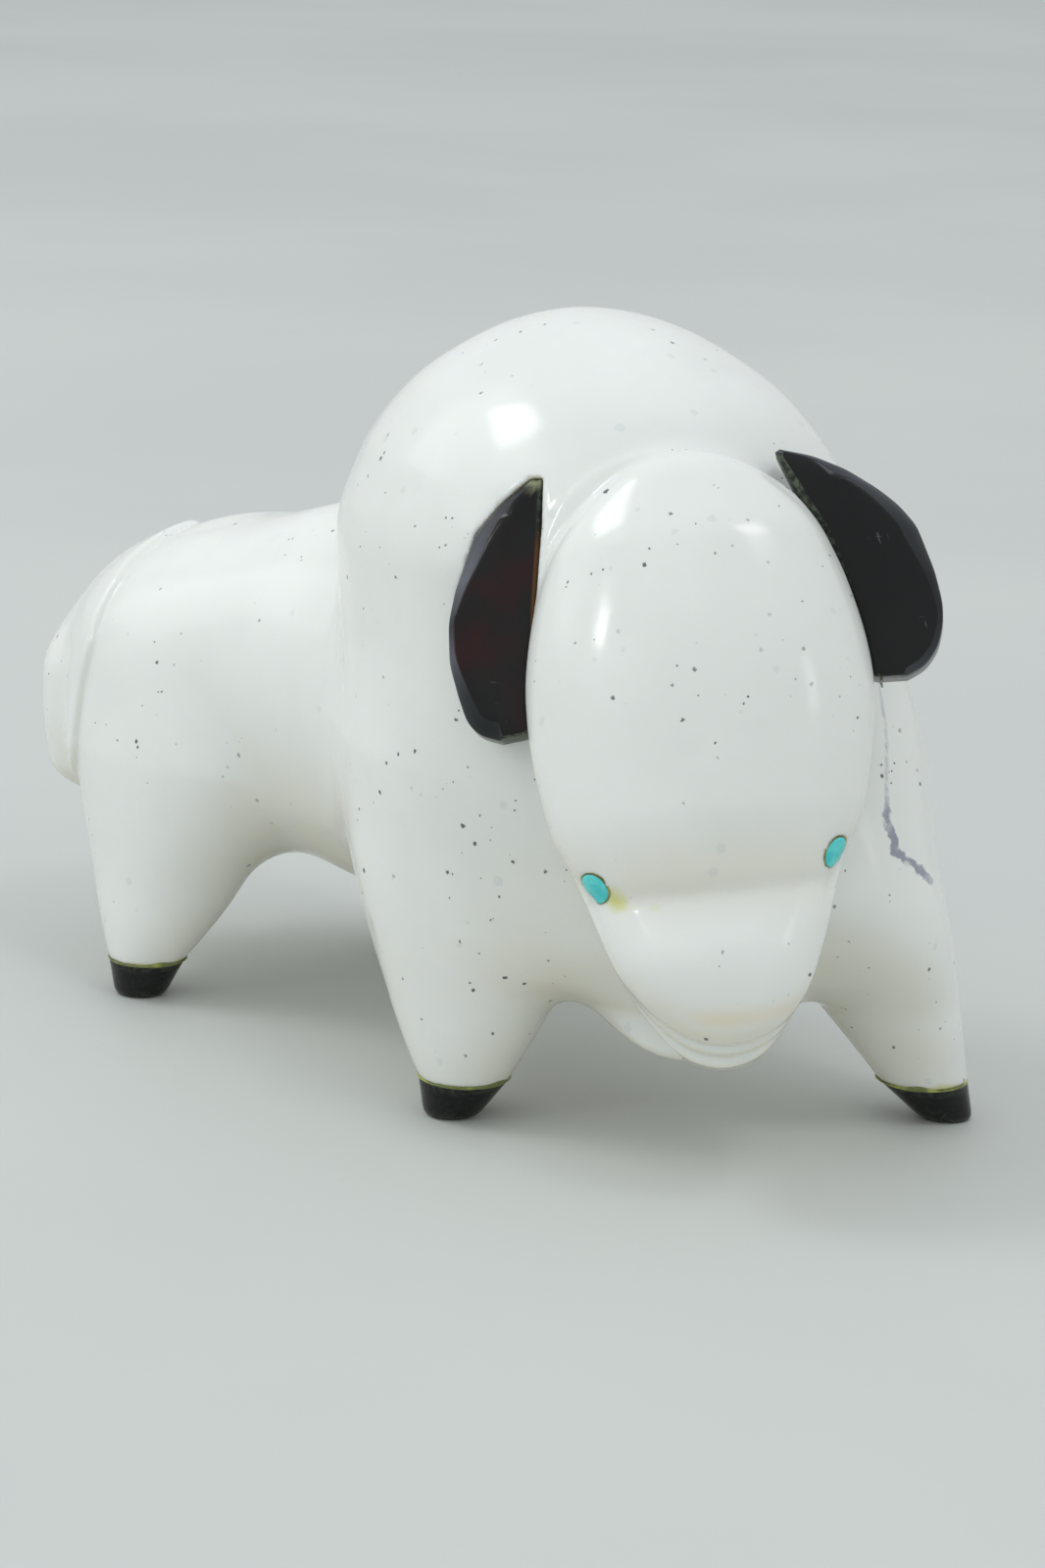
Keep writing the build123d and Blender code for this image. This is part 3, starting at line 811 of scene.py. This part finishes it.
def stone_material():
    """Cream-white polished stone with dark grains, a blue-grey vein, a few old glue stains, and beige painted
    shade under the brow, along the chin and on the undersides, partly the stone's own tint.
    """
    look = Shading("white_stone")
    colour = look.mix(look.ramp(look.noise(45, 4), 0.35, 0.65), (0.79, 0.81, 0.78, 1), (0.84, 0.86, 0.83, 1))
    colour = look.mix(look.ramp(look.noise(190, 5), 0.55, 0.8, 0, 0.25), colour, (0.74, 0.76, 0.74, 1))
    # Painted shade: beige in the brow's valley, along the chin and on the undersides, partly the stone's own
    # tint and partly shade with bounce light from the floor.
    painted_shade_and_tint = look.math("MULTIPLY", look.attribute("painted_shade_and_tint"), look.ramp(look.noise(160, 3), 0.3, 0.7, 0.45, 0.7))
    colour = look.mix(painted_shade_and_tint, colour, (0.80, 0.71, 0.52, 1))

    pale = look.math("MULTIPLY", look.specks(3.1, 0.2, 0.5, 0.4), 0.13)
    colour = look.mix(pale, colour, (0.25, 0.38, 0.45, 1))
    crowd = look.ramp(look.noise(75, 2), 0.49, 0.60, 0.0, 1)
    dark = look.math("MAXIMUM", look.specks(3.3, 0.09, 0.27, 0.32), look.math("MULTIPLY", crowd, look.math(
        "MAXIMUM", look.specks(1.5, 0.07, 0.22, 0.45), look.specks(0.8, 0.04, 0.12, 0.12))))
    colour = look.mix(look.math("MULTIPLY", dark, 0.88), colour, (0.04, 0.06, 0.075, 1))

    width = look.attribute("vein_width")
    torn = look.math("SUBTRACT", look.noise(1100, 6), 0.5)
    ragged = look.math("MULTIPLY", torn, look.math("MULTIPLY", width, 5.5))
    reach = look.math("SUBTRACT", look.math("ADD", look.attribute("vein"), ragged), width)
    vein = look.math("SUBTRACT", 1.0, look.ramp(reach, -0.1, 0.22))
    strength = look.math("MULTIPLY", look.ramp(width, 0.08, 0.3, 0.42, 0.75), look.ramp(
        look.noise(600, 4), 0.35, 0.6, 0.6, 1))
    colour = look.mix(look.math("MULTIPLY", vein, strength), colour, (0.16, 0.18, 0.27, 1))

    smear = look.math("ADD", look.attribute("stain"), look.math("MULTIPLY", look.noise(700, 3), 1.1))
    colour = look.mix(look.ramp(smear, 0.45, 1.75, 0.8, 0), colour, (0.66, 0.66, 0.10, 1))
    ring = look.math("MULTIPLY", look.ramp(look.attribute("eye_rim"), 1.45, 1.7, 1, 0), look.ramp(
        look.noise(420, 2), 0.48, 0.6, 0.0, 0.55))
    colour = look.mix(ring, colour, (0.34, 0.42, 0.12, 1))
    ooze = look.math("ADD", look.attribute("ankle"), look.math("MULTIPLY", look.noise(330, 4), 2.4))
    colour = look.mix(look.ramp(ooze, 0.9, 1.5, 0.7, 0), colour, (0.62, 0.62, 0.18, 1))

    look.set(Base_Color=colour, Roughness=look.ramp(look.noise(120, 4), 0.3, 0.7, 0.10, 0.19))
    look.set(Subsurface_Weight=0.35, Subsurface_Radius=(1.0, 0.85, 0.62), Subsurface_Scale=0.0014)
    look.bump(look.noise(60, 2), 0.25, 0.05)
    return look.material


def jet_material():
    """Black polished jet, with scratches, frosted edges, a deep red where light gets in, and a painted grey
    highlight along the ground outer edges.
    """
    look = Shading("jet")
    cloud = look.ramp(look.noise(70, 3), 0.4, 0.7)
    colour = look.mix(cloud, (0.007, 0.008, 0.008, 1), (0.011, 0.012, 0.012, 1))
    red = look.math("MULTIPLY", look.attribute("red"), look.ramp(look.noise(110, 2), 0.45, 0.7, 0, 0.8))
    colour = look.mix(red, colour, (0.030, 0.006, 0.007, 1))
    fine = look.noise(260, 8, (1, 9, 9), (0.4, 0.6, 0.3))
    frost = look.math("MULTIPLY", look.attribute("frosted"), look.ramp(fine, 0.38, 0.66, 0.15, 1))
    colour = look.mix(frost, colour, (0.10, 0.12, 0.085, 1))
    # Painted highlight: a soft grey sheen along the ground outer edges, in place of a window's reflection.
    soft = look.math("MULTIPLY", look.attribute("painted_bevel_sheen"), look.ramp(look.noise(130, 3), 0.3, 0.7, 0.6, 1))
    colour = look.mix(soft, colour, (0.125, 0.135, 0.16, 1))
    colour = look.mix(look.attribute("amber"), colour, (0.13, 0.06, 0.018, 1))
    colour = look.mix(look.attribute("tip"), colour, (0.24, 0.26, 0.16, 1))
    cross = look.math("MAXIMUM", look.ramp(look.noise(420, 2, (14, 1, 1), (0.2, 0.1, 0.9)), 0.70, 0.74),
                      look.ramp(look.noise(420, 2, (1, 1, 14), (0.5, 0.2, 0.4)), 0.71, 0.75))
    scratches = look.math("MULTIPLY", cross, look.ramp(look.noise(150, 1), 0.5, 0.62))
    colour = look.mix(look.math("MULTIPLY", scratches, 0.35), colour, (0.22, 0.22, 0.26, 1))
    rough = look.ramp(look.noise(90, 3), 0.3, 0.7, 0.14, 0.26)
    rough = look.math("ADD", rough, look.math("MULTIPLY", frost, 0.4))
    rough = look.math("ADD", rough, look.math("MULTIPLY", look.attribute("tip"), 0.3))
    look.set(Base_Color=colour, Roughness=rough, Specular_IOR_Level=0.22)
    look.bump(look.math("ADD", look.noise(130, 3), look.math("MULTIPLY", frost, 0.6)), 0.3, 0.06)
    return look.material


def turquoise_material():
    """Polished turquoise, a little clouded."""
    look = Shading("turquoise")
    colour = look.mix(look.ramp(look.noise(900, 4), 0.35, 0.65), (0.06, 0.60, 0.63, 1), (0.12, 0.72, 0.70, 1))
    look.set(Base_Color=colour, Roughness=look.ramp(look.noise(600, 3), 0.3, 0.7, 0.2, 0.35))
    look.bump(look.noise(1500, 3), 0.2, 0.02)
    return look.material


def glue_material(name, pale, dark):
    """Set adhesive, blotched between two tones."""
    look = Shading(name)
    colour = look.mix(look.ramp(look.noise(420, 4), 0.34, 0.52), pale, dark)
    look.set(Base_Color=colour, Roughness=look.ramp(look.noise(500, 3), 0.3, 0.7, 0.25, 0.5))
    look.bump(look.noise(1200, 3), 0.4, 0.04)
    return look.material


def floor_material():
    """A plain pale floor."""
    look = Shading("floor")
    colour = look.mix(look.ramp(look.noise(6, 4), 0.3, 0.7), (0.56, 0.58, 0.56, 1), (0.60, 0.62, 0.595, 1))
    look.set(Base_Color=colour, Roughness=0.6)
    look.bump(look.noise(180, 4), 0.1, 0.2)
    return look.material


# ---------------------------------------------------------------- pieces
finishes = {
    "jet": jet_material(), "turquoise": turquoise_material(),
    "adhesive": glue_material("adhesive", (0.42, 0.44, 0.10, 1), (0.16, 0.19, 0.06, 1)),
    "horn_setting": glue_material("horn_setting", (0.12, 0.07, 0.02, 1), (0.04, 0.03, 0.015, 1)),
}
field = carve()
eyes = {side: eye_axis(field, side) for side in sides}
whole = field.copy()
for side, (place, look) in eyes.items():
    bore(field, side, place, look)
make_stone(field, eyes)
for side, (place, look) in eyes.items():
    make_eye(side, whole, place, look)
    make_horn(side)
random = np.random.default_rng(7)
for name, place in hoof_places.items():
    make_hoof(name, place)
    make_hoof_glue(name, place, whole, random)

# The adhesive under the horns stays the CAD's own, with a darker look.
for entry in frame["record"]["subparts"]:
    if entry["node"].startswith("horn_glue"):
        node = frame["nodes"][entry["node"]]
        node.data.materials.clear()
        node.data.materials.append(finishes["horn_setting"])


# ---------------------------------------------------------------- stage, light and camera
def make_floor():
    """A wide floor that belongs to the stage, not to the part."""
    mesh = bpy.data.meshes.new("floor")
    reach = 3.0      # metres
    corners = [(-reach, -reach, 0), (reach, -reach, 0), (reach, reach, 0), (-reach, reach, 0)]
    mesh.from_pydata(corners, [], [(0, 1, 2, 3)])
    mesh.materials.append(floor_material())
    floor = bpy.data.objects.new("floor", mesh)
    bpy.context.collection.objects.link(floor)


def window_light(name, way, distance, size, power, colour=(1, 1, 1)):
    """A soft rectangle of light, its distance and size in metres, facing the middle of the carving."""
    lamp = bpy.data.lights.new(name, "AREA")
    lamp.shape = "RECTANGLE"
    lamp.size, lamp.size_y = size
    lamp.energy = power
    lamp.color = colour
    holder = bpy.data.objects.new(name, lamp)
    way = Vector(way).normalized()
    holder.location = Vector((0, 0, 0.04)) + way * distance
    holder.rotation_euler = way.to_track_quat("Z", "Y").to_euler()
    bpy.context.collection.objects.link(holder)


def photo_camera():
    """The photo's view: aimed a little beside and above a point on the floor, with a small roll."""
    azimuth, height, roll = np.radians([-42.0, 14.0, 2.0])
    lens, distance = 103.5, 0.400                  # lens in mm, distance in metres
    sideways, lift = 0.0383, -0.0737               # as shares of the distance
    target = np.array([1.1, -28.5, 0.0]) * MM
    back = np.array([np.sin(azimuth) * np.cos(height), -np.cos(azimuth) * np.cos(height), np.sin(height)])
    level = np.array([np.cos(azimuth), np.sin(azimuth), 0])
    upward = np.cross(back, level)
    right = np.cos(roll) * level + np.sin(roll) * upward
    up = np.cross(back, right)
    place = target - distance * (-back + sideways * right + lift * up)
    data = bpy.data.cameras.new("camera")
    data.lens = lens
    data.clip_start = 0.01
    camera = bpy.data.objects.new("camera", data)
    camera.matrix_world = Matrix([
        (right[0], up[0], back[0], place[0]), (right[1], up[1], back[1], place[1]),
        (right[2], up[2], back[2], place[2]), (0, 0, 0, 1)])
    bpy.context.collection.objects.link(camera)
    bpy.context.scene.camera = camera


def room_light():
    """An even pale room, a little brighter and cooler overhead; the camera sees its plain wall."""
    world = bpy.data.worlds.new("room")
    bpy.context.scene.world = world
    world.use_nodes = True
    tree = world.node_tree
    background = tree.nodes["Background"]
    way = tree.nodes.new("ShaderNodeTexCoord").outputs["Generated"]
    split = tree.nodes.new("ShaderNodeSeparateXYZ")
    tree.links.new(way, split.inputs[0])
    ramp = tree.nodes.new("ShaderNodeValToRGB")
    tree.links.new(split.outputs["Z"], ramp.inputs[0])
    ramp.color_ramp.elements[0].color = (0.66, 0.665, 0.66, 1)
    ramp.color_ramp.elements[1].color = (0.76, 0.81, 0.84, 1)
    seen = tree.nodes.new("ShaderNodeMix")
    seen.data_type = "RGBA"
    tree.links.new(tree.nodes.new("ShaderNodeLightPath").outputs["Is Camera Ray"], seen.inputs[0])
    tree.links.new(ramp.outputs[0], seen.inputs[6])
    seen.inputs[7].default_value = (0.62, 0.64, 0.62, 1)
    tree.links.new(seen.outputs[2], background.inputs["Color"])
    background.inputs["Strength"].default_value = 1.0


make_floor()
window_light("window", (-0.37, 0.44, 0.81), 1.0, (0.30, 0.24), 1.3, (0.96, 0.99, 1.0))
window_light("bright_wall", (-0.50, 0.58, 0.64), 1.1, (0.95, 0.80), 1.8, (0.96, 1.0, 1.0))
window_light("side_window", (-0.85, 0.06, 0.56), 1.0, (0.09, 0.13), 0.4, (1.0, 1.0, 0.99))
window_light("front_window", (-0.04, -0.47, 0.88), 1.0, (0.21, 0.22), 0.85, (1.0, 1.0, 1.0))
window_light("doorway", (0.0, -0.89, 0.45), 1.0, (0.10, 0.25), 0.15, (1.0, 1.0, 1.0))
photo_camera()
room_light()
bpy.context.scene.view_settings.view_transform = "Standard"
